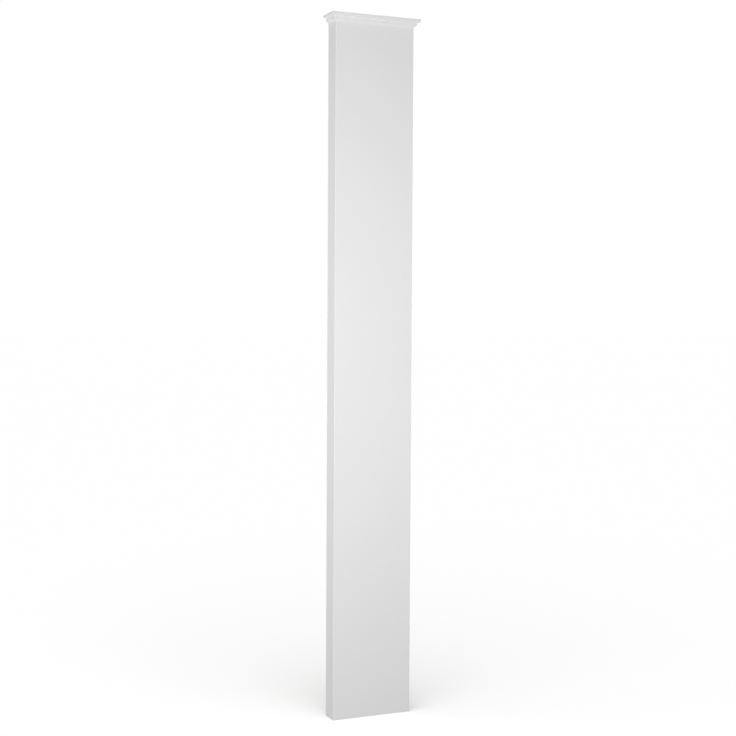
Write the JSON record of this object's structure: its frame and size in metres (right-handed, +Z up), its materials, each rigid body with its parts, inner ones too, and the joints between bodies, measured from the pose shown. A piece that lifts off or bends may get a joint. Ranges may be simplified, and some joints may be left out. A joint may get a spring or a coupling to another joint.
{
  "type": "pilaster",
  "caption": "Tall flat smooth wall pilaster in matte white rigid foam, with a small crown moulding returned on both sides at the top and a square-cut foot.",
  "frame": {"origin": "middle of the lower edge of the flat back, where the wall meets the floor line", "axes": "+Z up the shaft, +Y into the wall, so the front looks towards -Y, +X across the width"},
  "size_m": [0.272, 0.072, 2],
  "materials": {
    "primed_foam": "matte white factory primer on rigid foam"
  },
  "bodies": {
    "root": {"pilaster": "primed_foam"}
  },
  "joints": []
}
